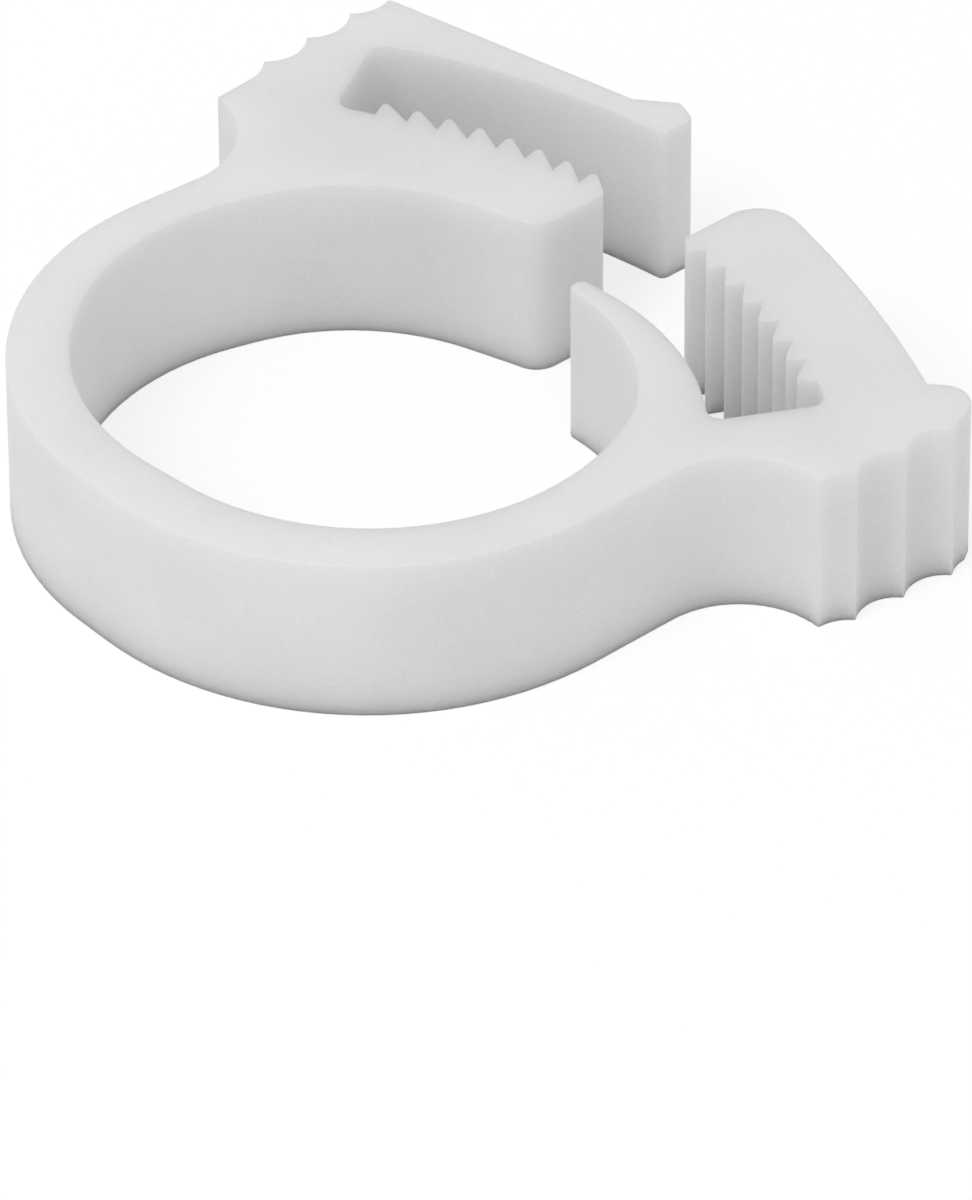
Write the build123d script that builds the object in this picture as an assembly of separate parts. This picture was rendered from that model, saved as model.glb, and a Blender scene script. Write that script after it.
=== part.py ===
from build123d import *
from math import acos, asin, atan2, cos, degrees, radians, sin, sqrt, tan
import os

# One-piece moulded hose clip with a ratchet, open as it leaves the mould.
# The origin is on the axis of the hose seat at the underside. X points to the mouth.
# All sizes are in millimetres, all angles in degrees.

# Band that goes round the hose
HEIGHT = 5.6
SEAT_R = 7.75
BACK_WALL = 1.9
UNDER_WALL = 1.85

# The seat runs on into a lower and an upper arc, each struck from a centre a little off its axis
LOWER_BORE = Vector(0.54, -1.39)
LOWER_BORE_R = SEAT_R + 0.37
UPPER_BORE = Vector(0.80, 0.21)
UPPER_BORE_R = SEAT_R - 0.43
OUTER_BACK = Vector(-0.69, 0.25)
OUTER_BACK_R = SEAT_R + BACK_WALL + OUTER_BACK.X
OUTER_LOW = Vector(0.66, -1.06)
OUTER_LOW_R = LOWER_BORE_R - LOWER_BORE.Y + UNDER_WALL + OUTER_LOW.Y

# The jaws swing about a point just behind the band, and the ratchet is struck from it
HINGE = Vector(-SEAT_R - 1.08, -2.27)
ARM_DEPTH = 3.54
TRACK_R = SEAT_R - HINGE.X + ARM_DEPTH
SLOT_WIDTH = 3.46
MOUTH = 3.23
TOOTH_PITCH = 1.02
UPPER_TOOTH_DEPTH = 0.74
LOWER_TOOTH_DEPTH = 0.59
TOOTH_TIP_R = 0.15

# Upper jaw: toothed arm inside, hook arm outside, a slot between them
UPPER_END_Y = 0.38
UPPER_END_R = 0.9
NOSE_R = 0.4
UPPER_ROOT_DEG = 33.7
UPPER_ROOT_SKEW = 0.8
UPPER_FIRST_TOOTH = 1.07
UPPER_TOOTH_LEAN = 0.06
SLOT_ROOT_R = 0.55
HOOK_REACH = 4.77
HOOK_RISE = 4.87
HOOK_CORNER = Vector(SEAT_R + HOOK_REACH, SEAT_R + HOOK_RISE)
HOOK_CORNER_R = 0.75
HOOK_LEAN_DEG = 14.8
HOOK_END_Y = 1.53
BARB_LENGTH = 1.97
BARB_OUT = 0.98
BARB_NOSE = 0.87
BARB_TAPER = 0.25
BARB_R = 0.28

# Lower jaw: sprung tongue inside, toothed arm outside, a pocket between them
LOWER_END_Y = UPPER_END_Y - MOUTH
LOWER_ROOT_DEG = -27.6
LOWER_FIRST_TOOTH = 0.57
LOWER_TOOTH_LEAN = 0.2
LOWER_TRACK_STEP = 0.42
LOWER_TRACK_R = TRACK_R + LOWER_TRACK_STEP
LOWER_ARM_REACH = 7.4
LOWER_ARM_RISE = 1.92
LOWER_ARM_R = 40.0
LOWER_ARM = Vector(SEAT_R + LOWER_ARM_REACH - LOWER_ARM_R, LOWER_ARM_RISE)
LOWER_END_R = 1.35
POCKET_ROOT_R = 0.48
TONGUE_IN = Vector(0.74, -3.25)
TONGUE_IN_R = SEAT_R - 1.24
TONGUE_OUT = Vector(-0.95, -4.57)
TONGUE_OUT_R = SEAT_R + 1.25
TONGUE_TIP_Y = -2.43
TONGUE_TIP_R = 0.3
TONGUE_TIP_SHARE = 0.42
HEEL_REACH = 5.57
HEEL_DROP = 6.36
HEEL = Vector(SEAT_R + HEEL_REACH, -SEAT_R - HEEL_DROP)
HEEL_R = 0.82
HEEL_SLANT = 1.62
NOTCH = Vector(-1.04, 1.14)
NOTCH_R = 0.25

# Grip faces, where pliers take hold, and the scooped necks that join them to the band
GRIP_PITCH = 1.80
GRIP_DEPTH = 0.40
CREST_LAP = 0.02
GRIP_COUNT = 4
UPPER_GRIP_REACH = 0.70
UPPER_GRIP_RISE = 4.64
UPPER_GRIP = Vector(SEAT_R + UPPER_GRIP_REACH, SEAT_R + UPPER_GRIP_RISE)
UPPER_GRIP_DEG = 3.3
LOWER_GRIP_REACH = 0.96
LOWER_GRIP_DROP = 7.19
LOWER_GRIP = Vector(SEAT_R + LOWER_GRIP_REACH, -SEAT_R - LOWER_GRIP_DROP)
LOWER_GRIP_DEG = -4.1
UPPER_SCOOP_BACK = 5.30
UPPER_SCOOP_RISE = 4.16
UPPER_SCOOP = Vector(SEAT_R - UPPER_SCOOP_BACK, SEAT_R + UPPER_SCOOP_RISE)
UPPER_SCOOP_R = 2.92
LOWER_SCOOP_BACK = 3.95
LOWER_SCOOP_DROP = 6.57
LOWER_SCOOP = Vector(SEAT_R - LOWER_SCOOP_BACK, -SEAT_R - LOWER_SCOOP_DROP)
LOWER_SCOOP_R = 3.0
SCOOP_LAP = 0.15

# Further out than any edge of the clip
FAR = 4 * SEAT_R


def disc(centre, radius):
    """A filled circle."""
    return Pos(centre.X, centre.Y) * Circle(radius)


def shape(*points):
    """A filled outline with straight sides."""
    return make_face(Polyline(*points, close=True))


def rounded(sketch, near, radius):
    """Rounds the corner of the sketch that lies nearest to a point."""
    corner = sketch.vertices().sort_by_distance(near)[0]
    return fillet(corner, radius)


def polar(radius, angle):
    """The point at a radius and an angle about the hinge."""
    return (HINGE.X + radius * cos(radians(angle)), HINGE.Y + radius * sin(radians(angle)))


def x_at(centre, radius, y):
    """Where the right side of a circle crosses a height."""
    return centre.X + sqrt(radius**2 - (y - centre.Y) ** 2)


def angle_at(radius, y):
    """The angle about the hinge at which a radius reaches a height."""
    return degrees(asin((y - HINGE.Y) / radius))


def touch(centre, radius, point):
    """Where a line from an outside point runs onto the left of a circle."""
    x, y = point[0] - centre.X, point[1] - centre.Y
    angle = atan2(y, x) + acos(radius / sqrt(x**2 + y**2))
    return (centre.X + radius * cos(angle), centre.Y + radius * sin(angle))


def sector(low, high):
    """A wedge about the hinge between two angles."""
    return shape((HINGE.X, HINGE.Y), polar(2 * FAR, low), polar(2 * FAR, high))


def strip(low_y, high_y):
    """Everything between two heights to the right of the axis."""
    return shape((0, low_y), (FAR, low_y), (FAR, high_y), (0, high_y))


def bore():
    """The inside of the band: a true round seat that runs on into two slightly wider arcs."""
    circles = Circle(SEAT_R) + disc(LOWER_BORE, LOWER_BORE_R) + disc(UPPER_BORE, UPPER_BORE_R)
    return make_hull(circles.edges())


def upper_neck():
    """The outer corners of the upper neck: where it leaves the band, and the foot of its scoop."""
    foot = (UPPER_SCOOP.X, UPPER_SCOOP.Y - UPPER_SCOOP_R)
    return touch(OUTER_BACK, OUTER_BACK_R, foot), foot


def band():
    """The springy C. It stops at the two jaws, where the necks thicken."""
    both = make_hull((disc(OUTER_BACK, OUTER_BACK_R) + disc(OUTER_LOW, OUTER_LOW_R)).edges())
    lower_half = shape((-FAR, OUTER_BACK.Y), (FAR, OUTER_BACK.Y), (FAR, -FAR), (-FAR, -FAR))
    outside = disc(OUTER_BACK, OUTER_BACK_R) + (both & lower_half)
    neck_x = upper_neck()[0][0]
    gate = shape(
        (neck_x, 0), (neck_x, FAR), (FAR, FAR),
        (FAR, -FAR), (OUTER_LOW.X, -FAR), (OUTER_LOW.X, 0),
    )
    return outside - bore() - gate


def on_grip(middle, angle, x):
    """The point at this x on the line through the crests of a grip face."""
    return (x, middle.Y + (x - middle.X) * tan(radians(angle)))


def grip_hollows(middle, angle, side):
    """The scalloped hollows of a grip face. The first breaks into the scoop of the neck."""
    rise = GRIP_DEPTH - CREST_LAP
    radius = ((GRIP_PITCH / 2) ** 2 + rise**2) / (2 * rise)
    cuts = Sketch()
    for k in range(GRIP_COUNT):
        x, y = on_grip(middle, angle, middle.X + (k - 1) * GRIP_PITCH)
        cuts += Pos(x, y + side * (radius - GRIP_DEPTH)) * Circle(radius)
    return cuts


def grip_start(middle, angle, scoop_x, side):
    """The corners of a jaw where its first hollow runs out level into the scoop."""
    left = on_grip(middle, angle, scoop_x - SCOOP_LAP)
    crest = on_grip(middle, angle, middle.X - GRIP_PITCH)
    drop = side * GRIP_DEPTH
    return (left[0], left[1] - drop), (crest[0], crest[1] - drop), crest


def tooth(track_r, tip_r, tip, lock, ramp):
    """A ratchet tooth: a steep locking face on one side of its tip, a long ramp on the other."""
    root_r = track_r + (track_r - tip_r) / 2
    face = shape(
        polar(root_r, lock), polar(track_r, lock), polar(tip_r, tip),
        polar(track_r, ramp), polar(root_r, ramp),
    )
    return rounded(face, polar(tip_r, tip), TOOTH_TIP_R)


def hook_x(y):
    """The outer edge of the hook arm, a straight line that leans outwards on its way down."""
    return HOOK_CORNER.X + (HOOK_CORNER.Y - y) * tan(radians(HOOK_LEAN_DEG))


def upper_jaw():
    # Shoulder, hook arm and toothed arm in one, out to the barb at the end of the hook
    slot_r = TRACK_R + SLOT_WIDTH
    middle_x = HINGE.X + TRACK_R + SLOT_WIDTH / 2
    barb_y = HOOK_END_Y + BARB_LENGTH
    nose = (hook_x(barb_y) + BARB_OUT, HOOK_END_Y + BARB_NOSE)
    toe = (nose[0] - BARB_TAPER, HOOK_END_Y)
    neck, foot = upper_neck()
    jaw = shape(
        neck, foot,
        *grip_start(UPPER_GRIP, UPPER_GRIP_DEG, UPPER_SCOOP.X + UPPER_SCOOP_R, 1),
        (HOOK_CORNER.X, HOOK_CORNER.Y),
        (hook_x(barb_y), barb_y), nose, toe,
        (middle_x, HOOK_END_Y), (middle_x, UPPER_END_Y), (neck[0], UPPER_END_Y),
    )
    jaw = rounded(jaw, (HOOK_CORNER.X, HOOK_CORNER.Y), HOOK_CORNER_R)
    jaw = rounded(jaw, nose, BARB_R)
    jaw = rounded(jaw, toe, BARB_R)
    jaw -= disc(UPPER_SCOOP, UPPER_SCOOP_R)
    jaw -= grip_hollows(UPPER_GRIP, UPPER_GRIP_DEG, 1)

    # Slot for the other arm, closed at its root by a radial wall
    slot = (disc(HINGE, slot_r) - disc(HINGE, TRACK_R)) & shape(
        polar(TRACK_R, LOWER_ROOT_DEG), polar(FAR, LOWER_ROOT_DEG), polar(FAR, UPPER_ROOT_DEG),
        polar(slot_r, UPPER_ROOT_DEG), polar(TRACK_R, UPPER_ROOT_DEG + UPPER_ROOT_SKEW), (0, 0),
    )
    slot = rounded(slot, polar(TRACK_R, UPPER_ROOT_DEG + UPPER_ROOT_SKEW), SLOT_ROOT_R)
    slot = rounded(slot, polar(slot_r, UPPER_ROOT_DEG), SLOT_ROOT_R)
    jaw = jaw - slot - bore()
    jaw = rounded(jaw, (x_at(HINGE, slot_r, HOOK_END_Y), HOOK_END_Y), BARB_R)

    # Teeth up to the root of the slot, their locking faces towards it
    tip_r = TRACK_R + UPPER_TOOTH_DEPTH
    end = angle_at(TRACK_R, UPPER_END_Y)
    first = angle_at(tip_r, UPPER_END_Y + UPPER_FIRST_TOOTH)
    step = degrees(TOOTH_PITCH / TRACK_R)
    lean = degrees(UPPER_TOOTH_LEAN / TRACK_R)
    for k in range(int((UPPER_ROOT_DEG - first) / step)):
        tip = first + k * step
        point = tooth(TRACK_R, tip_r, tip, tip + lean, tip - step + lean if k else end)
        jaw += point & strip(UPPER_END_Y, FAR)

    # The arm ends where the ramp of its first tooth runs out
    jaw = rounded(jaw, polar(TRACK_R, end), NOSE_R)
    jaw = rounded(jaw, (x_at(UPPER_BORE, UPPER_BORE_R, UPPER_END_Y), UPPER_END_Y), UPPER_END_R)
    return jaw


def lower_jaw():
    # Toothed arm, a crescent that narrows upwards
    arm = disc(LOWER_ARM, LOWER_ARM_R) - disc(HINGE, LOWER_TRACK_R)
    arm &= strip(HEEL.Y + NOTCH.Y, LOWER_END_Y)
    arm = rounded(arm, (x_at(LOWER_ARM, LOWER_ARM_R, LOWER_END_Y), LOWER_END_Y), LOWER_END_R)

    # Body with its grip face and the heel at the corner
    notch = (HEEL.X + NOTCH.X, HEEL.Y + NOTCH.Y)
    body = shape(
        (OUTER_LOW.X, -SEAT_R),
        (OUTER_LOW.X, OUTER_LOW.Y - OUTER_LOW_R),
        (LOWER_SCOOP.X, LOWER_SCOOP.Y + LOWER_SCOOP_R),
        *grip_start(LOWER_GRIP, LOWER_GRIP_DEG, LOWER_SCOOP.X + LOWER_SCOOP_R, -1),
        on_grip(LOWER_GRIP, LOWER_GRIP_DEG, HEEL.X - HEEL_SLANT),
        (HEEL.X, HEEL.Y), notch, (notch[0], -SEAT_R),
    )
    body = rounded(body, (HEEL.X, HEEL.Y), HEEL_R)
    body = rounded(body, notch, NOTCH_R)
    body -= disc(LOWER_SCOOP, LOWER_SCOOP_R)
    body -= grip_hollows(LOWER_GRIP, LOWER_GRIP_DEG, -1)

    # Pocket between the tongue and the toothed arm, open at the top
    pocket = disc(HINGE, LOWER_TRACK_R) - disc(TONGUE_OUT, TONGUE_OUT_R)
    pocket &= sector(LOWER_ROOT_DEG, UPPER_ROOT_DEG)
    pocket = rounded(pocket, polar(LOWER_TRACK_R - SLOT_WIDTH, LOWER_ROOT_DEG), POCKET_ROOT_R)
    pocket = rounded(pocket, polar(LOWER_TRACK_R, LOWER_ROOT_DEG), POCKET_ROOT_R)

    # Tongue that springs against the hose, rounded over at its free end
    tongue = disc(TONGUE_OUT, TONGUE_OUT_R) - disc(TONGUE_IN, TONGUE_IN_R)
    tongue &= shape(
        (LOWER_SCOOP.X, TONGUE_TIP_Y), (FAR, TONGUE_TIP_Y),
        (FAR, -SEAT_R - BACK_WALL), (LOWER_SCOOP.X, -SEAT_R - BACK_WALL),
    )
    inner_x = x_at(TONGUE_IN, TONGUE_IN_R, TONGUE_TIP_Y)
    outer_x = x_at(TONGUE_OUT, TONGUE_OUT_R, TONGUE_TIP_Y)
    end_r = min(TONGUE_TIP_R, TONGUE_TIP_SHARE * (outer_x - inner_x))
    tongue = rounded(tongue, (outer_x, TONGUE_TIP_Y), end_r)
    tongue = rounded(tongue, (inner_x, TONGUE_TIP_Y), end_r)
    jaw = (body + arm) - pocket - bore() + tongue

    # Teeth down to the floor of the pocket, their locking faces towards it
    tip_r = LOWER_TRACK_R - LOWER_TOOTH_DEPTH
    first = angle_at(tip_r, LOWER_END_Y - LOWER_FIRST_TOOTH)
    step = degrees(TOOTH_PITCH / TRACK_R)
    lean = degrees(LOWER_TOOTH_LEAN / TRACK_R)
    for k in range(int((first - LOWER_ROOT_DEG) / step)):
        tip = first - k * step
        point = tooth(LOWER_TRACK_R, tip_r, tip, tip - lean, tip + step - lean)
        jaw += point & strip(-FAR, LOWER_END_Y)
    return jaw


profile = band() + upper_jaw() + lower_jaw()
hose_clip = extrude(profile, HEIGHT)

os.makedirs("parts", exist_ok=True)
export_step(hose_clip, "parts/hose_clip.step")
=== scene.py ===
import bmesh
import bpy
from math import pi, radians
from mathutils import Matrix, Vector


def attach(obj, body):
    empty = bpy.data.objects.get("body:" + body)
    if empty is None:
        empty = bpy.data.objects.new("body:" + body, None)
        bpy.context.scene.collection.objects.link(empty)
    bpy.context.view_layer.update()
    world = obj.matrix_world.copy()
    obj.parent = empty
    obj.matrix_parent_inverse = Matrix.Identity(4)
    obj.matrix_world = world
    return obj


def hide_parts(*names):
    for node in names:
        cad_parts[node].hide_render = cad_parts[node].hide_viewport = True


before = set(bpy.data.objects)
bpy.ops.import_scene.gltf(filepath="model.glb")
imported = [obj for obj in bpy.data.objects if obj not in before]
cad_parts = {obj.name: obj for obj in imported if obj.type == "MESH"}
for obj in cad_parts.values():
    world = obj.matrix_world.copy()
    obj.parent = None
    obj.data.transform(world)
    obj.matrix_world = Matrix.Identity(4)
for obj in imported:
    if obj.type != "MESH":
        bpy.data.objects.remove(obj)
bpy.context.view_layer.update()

# Camera. It stands 38.5 degrees above the clip, looking from the band's outer side towards the
# mouth, far off with a long lens so that the walls stay upright and parallel.
MM = 0.001
LOOK_AT = Vector((0.18, -6.97, 0)) * MM
DISTANCE = 395.4 * MM
ELEVATION = radians(38.5)
HEADING = radians(40)
ROLL = radians(-0.317)
SENSOR_WIDTH = 36
PICTURE_WIDTH = 972
FOCAL_PIXELS = 13297
NEAREST_SEEN = 10 * MM
FARTHEST_SEEN = 10_000 * MM

turn = (
    Matrix.Rotation(-HEADING, 4, "Z")
    @ Matrix.Rotation(pi / 2 - ELEVATION, 4, "X")
    @ Matrix.Rotation(ROLL, 4, "Z")
)
camera_data = bpy.data.cameras.new("camera")
camera_data.sensor_fit = "HORIZONTAL"
camera_data.sensor_width = SENSOR_WIDTH
camera_data.lens = FOCAL_PIXELS * SENSOR_WIDTH / PICTURE_WIDTH
camera_data.clip_start = NEAREST_SEEN
camera_data.clip_end = FARTHEST_SEEN
camera = bpy.data.objects.new("camera", camera_data)
camera.matrix_world = Matrix.Translation(LOOK_AT) @ turn @ Matrix.Translation((0, 0, DISTANCE))
bpy.context.scene.collection.objects.link(camera)
bpy.context.scene.camera = camera
bpy.context.scene.view_settings.view_transform = "Standard"

# Table top. A matt white sheet under the clip, wide enough to reach past every view. Seen straight
# or in a gloss it is white, and it keeps the clip's soft shadow.
WHITE = (1, 1, 1, 1)
FLOOR_HALF = 3.0
FLOOR_PALE = (0.85, 0.85, 0.85, 1)
FLOOR_SEEN = (0.46, 0.46, 0.46, 1)
FLOOR_LIFT = 0.64
FLOOR_ROUGHNESS = 1.0
FLOOR_GLOSS = 0.0
SHEET_GRAIN = 0.6 * MM
SHEET_DEPTH = 0.02 * MM
NOISE_LOW = 0.3
NOISE_HIGH = 0.7
GRAIN_DETAIL = 2.0
GRAIN_HARSHNESS = 0.55


def node_adder(tree):
    """A function that adds a node of the given kind to this tree, with its settings."""

    def add(kind, **settings):
        node = tree.nodes.new(kind)
        for key, value in settings.items():
            setattr(node, key, value)
        return node

    return add


def shader_tree(material):
    """The node tree of a new material, its Principled shader and its node adder."""
    material.use_nodes = True
    tree = material.node_tree
    return tree, tree.nodes["Principled BSDF"], node_adder(tree)


def seen_straight(tree, add):
    """A socket that is 1 for what the camera sees, itself or in a gloss or through glass."""
    rays = add("ShaderNodeLightPath")
    gloss = add("ShaderNodeMath", operation="ADD", use_clamp=True)
    glass = add("ShaderNodeMath", operation="ADD", use_clamp=True)
    tree.links.new(rays.outputs["Is Camera Ray"], gloss.inputs[0])
    tree.links.new(rays.outputs["Is Glossy Ray"], gloss.inputs[1])
    tree.links.new(gloss.outputs["Value"], glass.inputs[0])
    tree.links.new(rays.outputs["Is Transmission Ray"], glass.inputs[1])
    return glass.outputs["Value"]


def spread(tree, add, noise):
    """The noise texture's values, which keep near the middle, spread from 0 to 1."""
    wide = add("ShaderNodeMapRange")
    wide.inputs["From Min"].default_value = NOISE_LOW
    wide.inputs["From Max"].default_value = NOISE_HIGH
    tree.links.new(noise.outputs["Fac"], wide.inputs["Value"])
    return wide.outputs["Result"]


def fine_grain():
    """A node group for the fine grain of a surface: Position and Grain Size in, Height out."""
    group = bpy.data.node_groups.new("fine_grain", "ShaderNodeTree")
    add = node_adder(group)
    sockets = group.interface
    sockets.new_socket("Position", in_out="INPUT", socket_type="NodeSocketVector")
    sockets.new_socket("Grain Size", in_out="INPUT", socket_type="NodeSocketFloat")
    sockets.new_socket("Height", in_out="OUTPUT", socket_type="NodeSocketFloat")
    given = add("NodeGroupInput")
    result = add("NodeGroupOutput")
    per_metre = add("ShaderNodeMath", operation="DIVIDE")
    per_metre.inputs[0].default_value = 1.0
    noise = add("ShaderNodeTexNoise")
    noise.inputs["Detail"].default_value = GRAIN_DETAIL
    noise.inputs["Roughness"].default_value = GRAIN_HARSHNESS
    group.links.new(given.outputs["Grain Size"], per_metre.inputs[1])
    group.links.new(given.outputs["Position"], noise.inputs["Vector"])
    group.links.new(per_metre.outputs["Value"], noise.inputs["Scale"])
    group.links.new(spread(group, add, noise), result.inputs["Height"])
    return group


grain_group = fine_grain()


def grain_bump(tree, shader, add, position, grain_size, depth):
    """Feeds the fine grain into the shader's normal as a bump of this depth; gives its height."""
    grain = add("ShaderNodeGroup", node_tree=grain_group)
    grain.inputs["Grain Size"].default_value = grain_size
    bump = add("ShaderNodeBump")
    bump.inputs["Distance"].default_value = depth
    tree.links.new(position, grain.inputs["Position"])
    tree.links.new(grain.outputs["Height"], bump.inputs["Height"])
    tree.links.new(bump.outputs["Normal"], shader.inputs["Normal"])
    return grain.outputs["Height"]


floor_mesh = bpy.data.meshes.new("table_top")
sheet = bmesh.new()
bmesh.ops.create_grid(sheet, x_segments=1, y_segments=1, size=FLOOR_HALF)
sheet.to_mesh(floor_mesh)
sheet.free()
floor = bpy.data.objects.new("table_top", floor_mesh)
bpy.context.scene.collection.objects.link(floor)

floor_white = bpy.data.materials.new("matt_white_table")
tree, shader, add = shader_tree(floor_white)
shader.inputs["Roughness"].default_value = FLOOR_ROUGHNESS
shader.inputs["Specular IOR Level"].default_value = FLOOR_GLOSS
shader.inputs["Emission Color"].default_value = WHITE
white = seen_straight(tree, add)
paper = add("ShaderNodeMix", data_type="RGBA")
paper.inputs["A"].default_value = FLOOR_PALE
paper.inputs["B"].default_value = FLOOR_SEEN
lift = add("ShaderNodeMath", operation="MULTIPLY")
lift.inputs[1].default_value = FLOOR_LIFT
tree.links.new(white, paper.inputs["Factor"])
tree.links.new(white, lift.inputs[0])
tree.links.new(paper.outputs["Result"], shader.inputs["Base Color"])
tree.links.new(lift.outputs["Value"], shader.inputs["Emission Strength"])
place = add("ShaderNodeTexCoord")
grain_bump(tree, shader, add, place.outputs["Object"], SHEET_GRAIN, SHEET_DEPTH)
floor_mesh.materials.append(floor_white)

# Light. A bright overcast room all round, and one soft lamp high behind the back of the band, so
# that it reaches into the slots between the arms. What the camera sees of the room is white.
SKY_LEVEL = 0.64
SKY_SEEN = 1.0
LAMP_AT = Vector((-360, -45, 500)) * MM
LAMP_SIZE = 300 * MM
LAMP_WATTS = 0.82

world = bpy.data.worlds.new("room")
world.use_nodes = True
bpy.context.scene.world = world
room = world.node_tree
add = node_adder(room)
background = room.nodes["Background"]
background.inputs["Color"].default_value = WHITE
level = add("ShaderNodeMapRange")
level.inputs["To Min"].default_value = SKY_LEVEL
level.inputs["To Max"].default_value = SKY_SEEN
room.links.new(seen_straight(room, add), level.inputs["Value"])
room.links.new(level.outputs["Result"], background.inputs["Strength"])

lamp_data = bpy.data.lights.new("soft_lamp", "AREA")
lamp_data.shape = "SQUARE"
lamp_data.size = LAMP_SIZE
lamp_data.energy = LAMP_WATTS
lamp = bpy.data.objects.new("soft_lamp", lamp_data)
lamp.location = LAMP_AT
lamp.rotation_euler = (-LAMP_AT).to_track_quat("-Z", "Y").to_euler()
bpy.context.scene.collection.objects.link(lamp)

# Hose clip. The real one is a single injection moulding in natural nylon: a springy band, two
# jaws with toothed racks, and nothing fitted to it. It is as it left the mould, so its faces are
# flat and its rims only just rounded.
RIM_ROUND = 0.06 * MM
RIM_STEPS = 3
WELD = 0.0005 * MM
FLAT = radians(0.05)
SMOOTH_UNDER = radians(32)

clip_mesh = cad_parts["hose_clip"].data.copy()
clip_mesh.name = "moulded_clip"
clip_mesh.materials.clear()
body = bmesh.new()
body.from_mesh(clip_mesh)
bmesh.ops.remove_doubles(body, verts=body.verts, dist=WELD)
bmesh.ops.dissolve_limit(
    body, angle_limit=FLAT, verts=body.verts, edges=body.edges, use_dissolve_boundaries=False
)
top_and_bottom = sorted(body.faces, key=lambda face: face.calc_area())[-2:]
rims = [edge for face in top_and_bottom for edge in face.edges]
bmesh.ops.bevel(
    body, geom=rims, offset=RIM_ROUND, offset_type="OFFSET", segments=RIM_STEPS,
    profile=0.5, affect="EDGES", clamp_overlap=False, material=-1, miter_outer="SHARP",
)
for face in body.faces:
    face.smooth = True
body.to_mesh(clip_mesh)
body.free()
clip_mesh.set_sharp_from_angle(angle=SMOOTH_UNDER)

clip = bpy.data.objects.new("moulded_clip", clip_mesh)
bpy.context.scene.collection.objects.link(clip)
even = clip.modifiers.new("even_shading", "WEIGHTED_NORMAL")
even.keep_sharp = True
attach(clip, "root")
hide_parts("hose_clip")

# Natural nylon. Undyed and milky, so that light soaks a little way in. The mould left a fine matt
# grain on every face, with painted shade darkening its pits, and the melt left faint, shinier
# clouds.
NYLON_PALE = (0.91, 0.91, 0.908, 1)
NYLON_DEEP = (0.82, 0.82, 0.816, 1)
NYLON_IOR = 1.53
NYLON_GLOSS = 0.35
CLOUD_SIZE = 5.0 * MM
CLOUD_DETAIL = 3.0
MATT = 0.56
SHINIER = 0.44
NYLON_GRAIN = 0.10 * MM
GRAIN_DEPTH = 0.008 * MM
# How much painted shade in the grain's pits goes into the colour, against the clouds' random tone.
PIT_SHADE_SHARE = 0.4
SOAK = 2.0 * MM
SOAK_BY_COLOUR = (1.0, 1.0, 0.97)
SOAK_SHARE = 1.0

nylon = bpy.data.materials.new("natural_nylon")
tree, shader, add = shader_tree(nylon)
shader.inputs["IOR"].default_value = NYLON_IOR
shader.inputs["Specular IOR Level"].default_value = NYLON_GLOSS
shader.inputs["Subsurface Weight"].default_value = SOAK_SHARE
shader.inputs["Subsurface Radius"].default_value = SOAK_BY_COLOUR
shader.inputs["Subsurface Scale"].default_value = SOAK
place = add("ShaderNodeTexCoord")
clouds = add("ShaderNodeTexNoise")
clouds.inputs["Scale"].default_value = 1 / CLOUD_SIZE
clouds.inputs["Detail"].default_value = CLOUD_DETAIL
milky = add("ShaderNodeMix", data_type="RGBA")
milky.inputs["A"].default_value = NYLON_DEEP
milky.inputs["B"].default_value = NYLON_PALE
gloss = add("ShaderNodeMapRange")
gloss.inputs["To Min"].default_value = MATT
gloss.inputs["To Max"].default_value = SHINIER
tree.links.new(place.outputs["Object"], clouds.inputs["Vector"])
patches = spread(tree, add, clouds)
tree.links.new(patches, gloss.inputs["Value"])
tree.links.new(milky.outputs["Result"], shader.inputs["Base Color"])
tree.links.new(gloss.outputs["Result"], shader.inputs["Roughness"])
pits = grain_bump(tree, shader, add, place.outputs["Object"], NYLON_GRAIN, GRAIN_DEPTH)
# Colour: the clouds' random tone, plus painted shade where the grain is low, in its pits.
tone_and_pit_shade = add("ShaderNodeMix", data_type="FLOAT")
tone_and_pit_shade.inputs["Factor"].default_value = PIT_SHADE_SHARE
tree.links.new(patches, tone_and_pit_shade.inputs["A"])
tree.links.new(pits, tone_and_pit_shade.inputs["B"])
tree.links.new(tone_and_pit_shade.outputs["Result"], milky.inputs["Factor"])
clip_mesh.materials.append(nylon)
